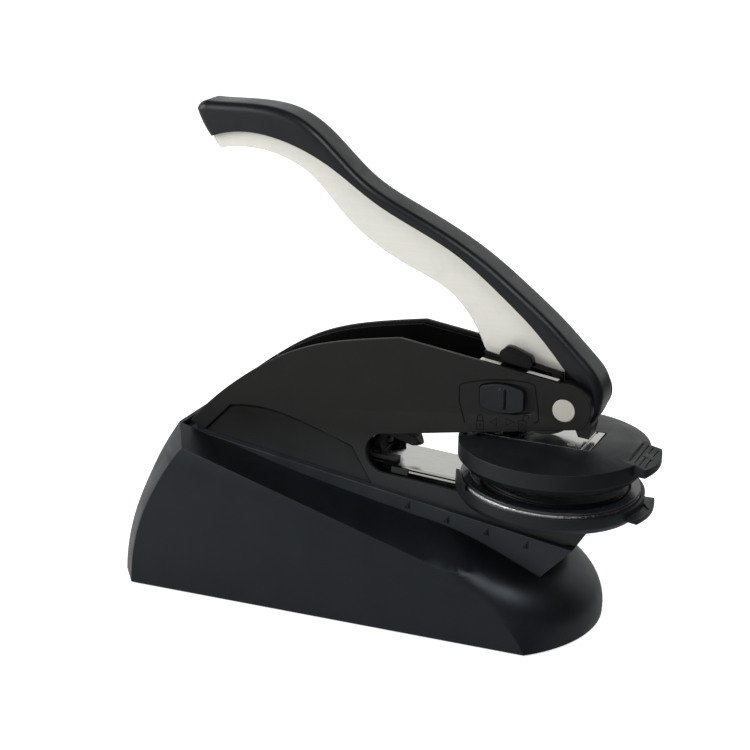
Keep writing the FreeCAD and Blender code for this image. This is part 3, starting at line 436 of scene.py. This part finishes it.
def coatedPlate(name, coat, bare):  # black-coated steel plate, its top edge bare near the pivot
    look = plateLook
    material, tree, shader = startFinish(name)
    place = objectPlace(tree)
    stretch = bareShare(tree)
    fine = noise(tree, place, look["fine"] * mm, 3.0)
    clouds = noise(tree, place, look["clouds"] * mm, 3.0)
    deep, pale = (darker(coat, tone) for tone in look["coatTones"])
    painted = mixColour(tree, spread(tree, clouds), deep, pale)
    metal = mixColour(tree, spread(tree, fine), darker(bare, look["bareTone"]), bare)
    tree.links.new(mixColour(tree, stretch, painted, metal), shader.inputs["Base Color"])
    tree.links.new(spread(tree, fine, *look["gloss"]), shader.inputs["Roughness"])
    tree.links.new(rescale(tree, stretch, 0, 1, 0, bareEdge["metal"]), shader.inputs["Metallic"])
    shader.inputs["Specular IOR Level"].default_value = look["shine"]
    normal = bump(tree, fine, look["depth"] * mm, roundedNormal(tree, 0.15 * mm))
    tree.links.new(normal, shader.inputs["Normal"])
    return material


leverLook = {
    "colour": (0.65, 0.64, 0.585, 1),
    "gloss": 0.42,
    "metal": 0.2,
    "end": 3.5,  # where the bare sheet ends in black, ahead of the die's axis, in mm
    "fade": 0.15,
    "black": (0.004, 0.0045, 0.005, 1),
}


def leverFinish():  # bright sheet, blackened where it runs down to the pivot
    look = leverLook
    material = brushedSteel("leverSheet", look["colour"], look["gloss"], 0, 0.08, 0.001, contrast=0.25,
                            metal=look["metal"])
    tree = material.node_tree
    shader = tree.nodes["Principled BSDF"]
    end = dieAxis + look["end"] * mm
    black = rescale(tree, objectAxes(tree)["X"], end, end + look["fade"] * mm)
    sheet = shader.inputs["Base Color"].links[0].from_socket
    tree.links.new(mixColour(tree, black, sheet, look["black"]), shader.inputs["Base Color"])
    tree.links.new(rescale(tree, black, 0, 1, look["metal"], 0), shader.inputs["Metallic"])
    return material


blueBlack = (0.0034, 0.0042, 0.0054, 1)
warmBlack = (0.0046, 0.0046, 0.0044, 1)
coolBlack = (0.0046, 0.0053, 0.0062, 1)
railBlack = (0.0155, 0.0178, 0.0208, 1)
# painted reflected light on the lower body, between the given heights in mm
bodyFootSheen = {"top": 50.0, "foot": 38.0, "share": 1.0, "colour": (0.0195, 0.0205, 0.0215, 1)}

finishes = {
    # base and rail have their paler edges raised to paint the highlight along the side's crease and the
    # rail's top edge
    "base_plastic": mouldedPlastic("basePlastic", blueBlack, 0.39, 0.30, 0.010, wearAndHighlight=3.5),
    "rail_plastic": mouldedPlastic("railPlastic", railBlack, 0.44, 0.25, 0.010, wearAndHighlight=4.0),
    "body_plastic": mouldedPlastic("bodyPlastic", warmBlack, 0.46, 0.25, 0.010, 0.20, 3.0, footSheen=bodyFootSheen),
    "button_plastic": mouldedPlastic("buttonPlastic", coolBlack, 0.40, 0.20, 0.006, soft=0.4),
    "grip_plastic": mouldedPlastic("gripPlastic", (0.0060, 0.0066, 0.0072, 1), 0.36, 0.22, 0.008, soft=0.4),
    "die_plastic": mouldedPlastic("diePlastic", (0.0050, 0.0058, 0.0064, 1), 0.44, 0.22, 0.008, soft=0.35),
    "die_face": mouldedPlastic("engravedFace", (0.0050, 0.0051, 0.0053, 1), 0.38, 0.6, 0.08),
    "frame_steel": coatedPlate("framePlate", (0.0018, 0.0018, 0.0019, 1), (0.72, 0.71, 0.68, 1)),
    "lever_steel": leverFinish(),
    "strip_steel": brushedSteel("chromeStrip", *chrome),
    "pin_steel": brushedSteel("pinHead", (0.51, 0.49, 0.445, 1), 0.38, 2, 0.06, 0.003, contrast=0.6),
    "screw_steel": brushedSteel("screwSteel", (0.45, 0.45, 0.46, 1), 0.32, 1, 0.04, 0.002),
    "spring_steel": brushedSteel("springWire", (0.50, 0.50, 0.50, 1), 0.28, 1, 0.03, 0.001),
    "cam_steel": brushedSteel("camSteel", (0.055, 0.055, 0.058, 1), 0.42, 1, 0.06, 0.004),
    "ballast_iron": castIron("ballastIron", (0.10, 0.10, 0.105, 1)),
    "pad_rubber": feltRubber("padRubber", (0.012, 0.012, 0.013, 1)),
    "ring_metal": unevenRing("unevenRing", (0.88, 0.87, 0.84, 1), (0.02, 0.018, 0.016, 1)),
    "retainer_plastic": glossyMoulding("retainerRing", (0.010, 0.012, 0.015, 1)),
}
grooveFinish = mouldedPlastic("grooveShade", (0.0035, 0.0036, 0.0040, 1), 0.6, wearAndHighlight=1.0, shine=0.1)
print("finishes made:", len(finishes))


def slotName(node):
    return nodes[node].material_slots[0].material.name.split(".")[0]


nodeSlots = {name: slotName(name) for name in nodes}
nodeFinishes = {name: finishes[slot] for name, slot in nodeSlots.items()}
nodeFinishes["lock_bar"] = glossyMoulding("hookBlack", (0.0030, 0.0030, 0.0030, 1), 0.12)
# painted shade: the rivets take the hinge block's dark finish instead of bare steel, as the hinge end lies in
# shadow
nodeFinishes["clip_rivets"] = nodeFinishes["clip_hinge_block"]
dieRingBlack = (0.0024, 0.0028, 0.0032, 1)
nodeFinishes["upper_die_ring"] = mouldedPlastic("dieRingPlastic", dieRingBlack, 0.42, shine=0.18)
for name in ("lower_strip", "clip_runner"):
    nodeFinishes[name] = shadedStrip
for name, node in nodes.items():
    for place in node.material_slots:
        place.material = nodeFinishes[name]
print("nodes dressed")


def newPiece(name, mesh, body, finish):
    mesh.materials.clear()
    mesh.materials.append(finish)
    piece = bpy.data.objects.new(name, mesh)
    bpy.context.scene.collection.objects.link(piece)
    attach(piece, body)
    return piece


def meshFrom(shape, name, sharp=35.0):
    bmesh.ops.recalc_face_normals(shape, faces=shape.faces)
    mesh = bpy.data.meshes.new(name)
    shape.to_mesh(mesh)
    shape.free()
    mesh.shade_smooth()
    mesh.set_sharp_from_angle(angle=math.radians(sharp))
    return mesh


softEdges = {  # CAD node: width of its rounded edges, in mm
    "desk_base": 0.35,
    "cradle_rail": 0.30,
    "right_body_shell": 0.22,
    "left_body_shell": 0.22,
    "handle_grip": 0.30,
    "upper_die_holder": 0.20,
    "lower_die_tray": 0.20,
    "lock_button": 0.22,
    "lock_bar": 0.25,
}
edgeRounding = {
    "merge": 0.002,  # distance of points that are one, in mm
    "flat": 0.3,  # in degrees
    "sharp": 30.0,
    "angle": 32.0,
    "segments": 2,
}


def soften(name, width):  # merged copy of a node with its edges rounded
    shape = bmesh.new()
    shape.from_mesh(nodes[name].data)
    bmesh.ops.remove_doubles(shape, verts=shape.verts, dist=edgeRounding["merge"] * mm)
    flat = math.radians(edgeRounding["flat"])
    bmesh.ops.dissolve_limit(shape, angle_limit=flat, verts=shape.verts, edges=shape.edges)
    mesh = meshFrom(shape, name + "Soft", edgeRounding["sharp"])
    piece = newPiece(name + "Soft", mesh, nodes[name]["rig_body"], nodeFinishes[name])
    rounding = piece.modifiers.new("edges", "BEVEL")
    rounding.width = width * mm
    rounding.segments = edgeRounding["segments"]
    rounding.limit_method = "ANGLE"
    rounding.angle_limit = math.radians(edgeRounding["angle"])
    rounding.harden_normals = True
    rounding.use_clamp_overlap = True
    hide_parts(name)
    return piece


for name, width in softEdges.items():
    soften(name, width)
print("edges rounded:", len(softEdges))

strokeDepth = 0.15  # depth of an engraved line as a share of its width


def engraved(name, strokes, width, side, body):
    # dark lines let into a side face, for engraved marks and for painted shadow lines: strokes are (closed,
    # points), points (x, z) in mm from the die's axis
    line = bpy.data.curves.new(name, "CURVE")
    line.dimensions = "3D"
    line.bevel_depth = width / 2 * mm
    line.bevel_resolution = 2
    line.use_fill_caps = True
    for closed, points in strokes:
        spline = line.splines.new("POLY")
        spline.points.add(len(points) - 1)
        spline.use_cyclic_u = closed
        for place, (x, z) in zip(spline.points, points):
            place.co = (dieAxis + x * mm, 0, z * mm, 1)
    holder = bpy.data.objects.new(name, line)
    mesh = bpy.data.meshes.new_from_object(holder)
    bpy.data.objects.remove(holder)
    bpy.data.curves.remove(line)
    mesh.transform(Matrix.Translation((0, side, 0)) @ Matrix.Diagonal((1, strokeDepth, 1, 1)))
    mesh.shade_smooth()
    return newPiece(name, mesh, body, grooveFinish)


lockFrame = {  # line around the lock, in mm
    "width": 0.40,
    "points": [(-21.5, 56.3), (-22.7, 60.6), (-23.1, 62.1), (-23.1, 66.5), (-22.4, 67.2), (-19.2, 68.2),
               (-14.7, 69.2), (-8.1, 69.9), (-4.2, 69.8), (-2.6, 69.3), (-2.1, 67.1), (-1.6, 63.8),
               (-1.2, 60.4), (-1.6, 59.3), (-2.5, 59.0)],
}
lockSigns = {  # closed padlock, arrows, open padlock
    "width": 0.28,
    "padlocks": [(-17.2, 56.3, 0.0), (-5.6, 57.9, 0.9)],  # centre of the body, offset of the shackle
    "body": (2.0, 2.4),
    "shackle": (1.5, 1.7),
    "corner": (0.4, 0.5),  # cut off the shackle's corners
    "raised": 0.8,  # free end of the open shackle, above the body
    "keyhole": [(-0.35, 0.3), (0.3, 0.2), (-0.3, -0.4), (0.35, -0.5)],  # from the centre of the body
    "arrows": [[(-14.6, 57.6), (-12.7, 58.8), (-12.7, 56.8)], [(-10.1, 59.2), (-7.9, 58.5), (-10.1, 57.2)]],
}


def signStrokes():
    strokes = [(True, arrow) for arrow in lockSigns["arrows"]]
    width, height = (size / 2 for size in lockSigns["body"])
    span, rise = lockSigns["shackle"]
    cutX, cutZ = lockSigns["corner"]
    for x, z, aside in lockSigns["padlocks"]:
        strokes.append((True, [(x - width, z - height), (x + width, z - height),
                               (x + width, z + height), (x - width, z + height)]))
        strokes.append((False, [(x + dx, z + dz) for dx, dz in lockSigns["keyhole"]]))
        left, top = x + aside - span / 2, z + height + rise
        right, free = left + span, z + height + (lockSigns["raised"] if aside else 0.0)
        arch = [(left, z + height), (left, top - cutZ), (left + cutX, top), (right - cutX, top),
                (right, top - cutZ), (right, free)]
        strokes.append((False, arch))
    return strokes


bodyOf = {name: nodes[name]["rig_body"] for name in nodes}
shellBody = bodyOf["right_body_shell"]
engraved("lockFrame", [(False, lockFrame["points"])], lockFrame["width"], bodySide, shellBody)
engraved("lockSigns", signStrokes(), lockSigns["width"], bodySide, shellBody)

ribShade = {  # shadow beside the button's rib
    "width": 0.35,
    "behind": 0.35,  # behind the rib's face
    "points": [(-10.1, 61.6), (-10.1, 67.2)],
}
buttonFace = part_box("lock_button")[0].y + ribShade["behind"] * mm
engraved("ribShade", [(False, ribShade["points"])], ribShade["width"], buttonFace,
         bodyOf["lock_button"])

panelEdge = {  # shadow under the upper edge of the panel let into the cover, points from the pivot, in mm
    "width": 0.45,
    "depth": 0.6,
    "points": [(-104.0, -19.7), (-96.1, -11.9), (-91.0, -11.3), (-85.4, -11.3), (-80.0, -12.1),
               (-74.5, -13.6), (-67.0, -15.8), (-59.6, -18.6), (-53.5, -28.8)],
}
panelLine = [(x + pivotAhead / mm, z + pivot.z / mm) for x, z in panelEdge["points"]]
engraved("panelEdge", [(False, panelLine)], panelEdge["width"], bodySide + panelEdge["depth"] * mm,
         shellBody)

indexMarks = {  # small right-angled pointers along the rail, in mm
    "width": 0.42,
    "places": [(-36.6, 31.4), (-25.3, 29.0), (-14.1, 27.3), (-3.0, 25.4)],
    "pointer": [(-0.75, -0.70), (0.52, -1.00), (0.52, 1.10)],
    "stroke": [(0.12, -0.75), (0.18, 0.35)],
}


def markStrokes():
    strokes = []
    for x, z in indexMarks["places"]:
        strokes.append((True, [(x + dx, z + dz) for dx, dz in indexMarks["pointer"]]))
        strokes.append((False, [(x + dx, z + dz) for dx, dz in indexMarks["stroke"]]))
    return strokes


engraved("indexMarks", markStrokes(), indexMarks["width"], railSide, bodyOf["cradle_rail"])
print("engraved lines made")

sidePlates = {  # flat plates, in mm: outline (x, z) from the die's axis, side faces, rounding, and their node
    "guideWeb": {  # thin web that joins the paper guide's tongue to the clip block
        "points": [(-48.4, 41.0), (-44.7, 40.9), (-44.4, 42.1), (-45.6, 43.3), (-48.4, 44.5)],
        "sides": (6.0, 6.7),
        "edge": 0.25,
        "node": "paper_guide",
    },
    "hookCap": {  # hook's block, which reaches over the top edge of the frame plate
        "points": [(-12.3, 74.0), (-12.2, 76.0), (-11.9, 77.3), (-11.3, 78.1), (-10.5, 78.3), (-9.2, 78.1),
                   (-7.6, 77.5), (-5.6, 76.7), (-4.7, 76.4), (-3.9, 75.6), (-3.6, 74.7), (-3.8, 73.8),
                   (-4.6, 73.0), (-5.5, 72.6), (-6.9, 72.9), (-9.8, 73.5)],
        "sides": (-8.7, -6.0),
        "edge": 0.35,
        "node": "lock_bar",
    },
    "hookBar": {  # bar that runs on from the hook towards the pivot
        "points": [(-4.9, 74.5), (-1.2, 73.6), (1.8, 73.0), (4.1, 72.5), (4.1, 70.0), (0.4, 70.4),
                   (-3.2, 71.2), (-5.4, 71.6)],
        "sides": (-6.9, -5.9),
        "edge": 0.15,
        "node": "lock_bar",
    },
}


def makeSidePlate(name, plate):
    near, far = plate["sides"]
    shape = bmesh.new()
    corners = [shape.verts.new((dieAxis + x * mm, near * mm, z * mm)) for x, z in plate["points"]]
    raised = bmesh.ops.extrude_face_region(shape, geom=[shape.faces.new(corners)])
    moved = [part for part in raised["geom"] if isinstance(part, bmesh.types.BMVert)]
    bmesh.ops.translate(shape, verts=moved, vec=(0, (far - near) * mm, 0))
    bmesh.ops.bevel(shape, geom=shape.edges[:], offset=plate["edge"] * mm, affect="EDGES", segments=2,
                    profile=0.5, material=-1)
    node = plate["node"]
    return newPiece(name, meshFrom(shape, name), bodyOf[node], nodeFinishes[node])


for name, plate in sidePlates.items():
    makeSidePlate(name, plate)
print("side plates made:", len(sidePlates))

camera = {
    "place": (dieAxis + 136.9 * mm, -442.4 * mm, 222.6 * mm),
    "azimuth": 23.051,  # degrees from the front, towards the dies
    "elevation": 18.403,
    "lens": 89.28,
    "sensor": 36,
    "clip": (0.01, 50),
}


def placeCamera():
    data = bpy.data.cameras.new("viewCamera")
    data.lens = camera["lens"]
    data.sensor_width = camera["sensor"]
    data.clip_start, data.clip_end = camera["clip"]
    seat = bpy.data.objects.new("viewCamera", data)
    turn = math.radians(camera["azimuth"])
    lift = math.radians(camera["elevation"])
    ahead = Vector((-math.sin(turn) * math.cos(lift), math.cos(turn) * math.cos(lift), -math.sin(lift)))
    seat.rotation_euler = ahead.to_track_quat("-Z", "Y").to_euler()
    seat.location = camera["place"]
    bpy.context.scene.collection.objects.link(seat)
    bpy.context.scene.camera = seat


placeCamera()

lamps = {  # place in m, size in m, power in W
    "leftSoftbox": ((-0.85, -0.65, 0.55), 0.8, 12.0),
    "topSoftbox": ((0.50, -0.36, 0.92), 0.45, 5.0),
}
lampTarget = Vector((0, 0, 0.05))
room = {
    "diffuse": 0.35,
    "shown": 1.0,
    "ceiling": 0.05,  # what is mirrored from above the white backdrop
    "ceilingEdge": (0.52, 0.70),  # height of a mirrored direction where the backdrop ends
    "floorSize": 6.0,
    "floorDrop": 0.02,  # in mm, so that it doesn't meet the pad
    "floorRough": 0.9,
    "floorColour": 0.80,
    "floorLift": 0.75,
    "floorBeside": 0.04,  # mirrored colour of the floor beyond the nose
    "floorEdge": (0.08, 0.18),  # where that floor begins, in m
    "flagSide": (0.95, -0.15, 0.20),  # direction of the dark flag that keeps the nose deep black
    "flagEdge": (0.35, 0.75),
    "flagged": 0.03,
}


def placeLamps():
    for name, (place, size, power) in lamps.items():
        data = bpy.data.lights.new(name, "AREA")
        data.shape = "DISK"
        data.size = size
        data.energy = power
        lamp = bpy.data.objects.new(name, data)
        lamp.location = place
        lamp.rotation_euler = (lampTarget - Vector(place)).to_track_quat("-Z", "Y").to_euler()
        bpy.context.scene.collection.objects.link(lamp)


def shownShare(tree):  # 1 for rays that show the backdrop: straight, mirrored or through
    path = addNode(tree, "LightPath")
    both = calculate(tree, "MAXIMUM", path.outputs["Is Camera Ray"], path.outputs["Is Glossy Ray"])
    return calculate(tree, "MAXIMUM", both, path.outputs["Is Transmission Ray"])


def makeRoom():
    world = bpy.data.worlds.new("studio")
    bpy.context.scene.world = world
    world.use_nodes = True
    tree = world.node_tree
    towards = addNode(tree, "TexCoord").outputs["Generated"]
    beside = addNode(tree, "VectorMath", {0: towards, 1: room["flagSide"]}, operation="DOT_PRODUCT")
    flagged = rescale(tree, beside.outputs["Value"], *room["flagEdge"], 1.0, room["flagged"])
    height = addNode(tree, "SeparateXYZ", {0: towards}).outputs["Z"]
    backdrop = rescale(tree, height, *room["ceilingEdge"], 1.0, room["ceiling"])
    seen = calculate(tree, "MULTIPLY", calculate(tree, "MULTIPLY", flagged, backdrop), room["shown"])
    mirrored = addNode(tree, "Mix", {"Factor": shownShare(tree), "A": room["diffuse"], "B": seen})
    straight = addNode(tree, "LightPath").outputs["Is Camera Ray"]
    strength = calculate(tree, "MAXIMUM", mirrored.outputs["Result"], straight)
    tree.links.new(strength, tree.nodes["Background"].inputs["Strength"])
    tree.nodes["Background"].inputs["Color"].default_value = (1, 1, 1, 1)


def makeFloor():
    shape = bmesh.new()
    bmesh.ops.create_grid(shape, x_segments=1, y_segments=1, size=room["floorSize"])
    floor = bpy.data.objects.new("floor", meshFrom(shape, "floor"))
    bpy.context.scene.collection.objects.link(floor)
    floor.location.z = -room["floorDrop"] * mm
    material, tree, shader = startFinish("paleFloor")
    path = addNode(tree, "LightPath")
    aside = rescale(tree, objectAxes(tree)["X"], *room["floorEdge"])
    beyond = calculate(tree, "MULTIPLY", aside, path.outputs["Is Glossy Ray"])
    plain, dark = ((room[key],) * 3 + (1,) for key in ("floorColour", "floorBeside"))
    tree.links.new(mixColour(tree, beyond, plain, dark), shader.inputs["Base Color"])
    shader.inputs["Roughness"].default_value = room["floorRough"]
    shader.inputs["Specular IOR Level"].default_value = 0.0
    shader.inputs["Emission Color"].default_value = (1, 1, 1, 1)
    lift = calculate(tree, "MULTIPLY", path.outputs["Is Camera Ray"], room["floorLift"])
    tree.links.new(lift, shader.inputs["Emission Strength"])
    floor.data.materials.append(material)


placeLamps()
makeRoom()
makeFloor()
bpy.context.scene.view_settings.view_transform = "Standard"
print("camera, lamps and floor placed")
